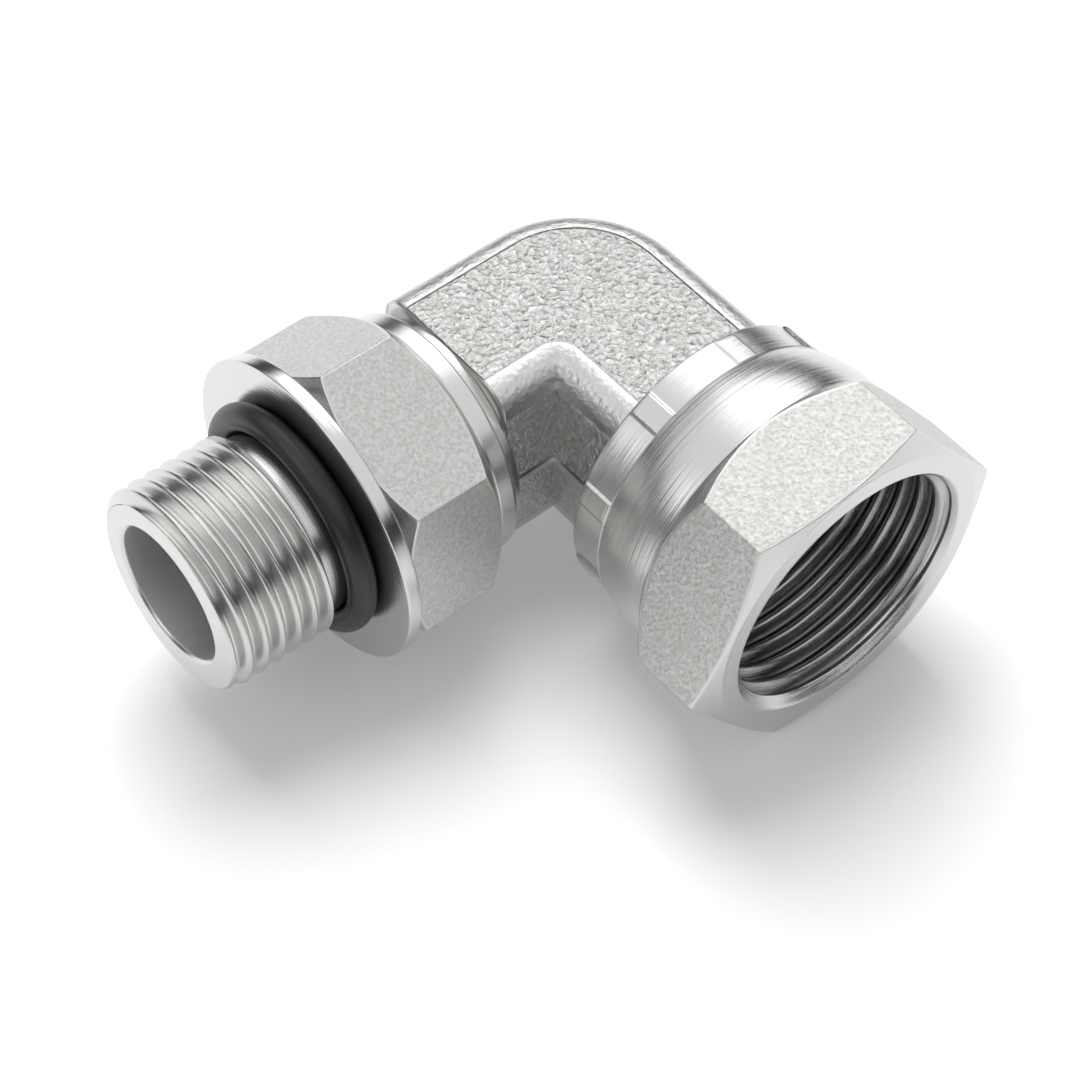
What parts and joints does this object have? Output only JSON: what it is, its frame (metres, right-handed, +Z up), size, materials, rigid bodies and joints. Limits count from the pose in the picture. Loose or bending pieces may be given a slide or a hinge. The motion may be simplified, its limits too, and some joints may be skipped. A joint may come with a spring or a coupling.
{
  "type": "elbow adapter fitting",
  "caption": "90 degree adjustable hydraulic elbow: O-ring stud with lock nut and back-up washer on one arm, crimped swivel nut on the other.",
  "frame": {"origin": "On the stud's axis, where the stud's full thread meets its relief", "axes": "-X points out of the stud's tip, -Y points out of the swivel nut's mouth, +Z is up off the forging's flat top"},
  "size_m": [0.0663, 0.0549, 0.0344],
  "materials": {
    "body_plating": "bright zinc plate over a shot-blasted forging, bright where turned",
    "lock_nut_plating": "bright zinc plate, lightly pebbled flats",
    "washer_plating": "bright zinc plate, turned face",
    "seal_rubber": "black moulded nitrile, satin",
    "swivel_nut_plating": "bright zinc plate, pebbled flats and a brushed turned shoulder"
  },
  "bodies": {
    "fitting_body": {"elbow_body": "body_plating"},
    "seal_pack": {"backup_washer": "washer_plating", "o_ring": "seal_rubber"},
    "lock_nut": {"lock_nut": "lock_nut_plating"},
    "swivel_nut": {"swivel_nut": "swivel_nut_plating"}
  },
  "joints": [
    {"name": "seal_slide", "type": "slide", "parent": "fitting_body", "child": "seal_pack", "axis": [-1, 0, 0], "range_m": [0, 0.00152]},
    {"name": "lock_nut_turn", "type": "hinge", "parent": "seal_pack", "child": "lock_nut", "pos_m": [0.012, 0, 0], "axis": [-1, 0, 0], "range_deg": [0, 300]},
    {"name": "swivel_turn", "type": "hinge", "parent": "fitting_body", "child": "swivel_nut", "pos_m": [0.03705, -0.03, 0], "axis": [0, -1, 0], "continuous": true}
  ],
  "couplings": [
    {"joint": "seal_slide", "follows": "lock_nut_turn", "m_per_rad": 0.00028871}
  ]
}
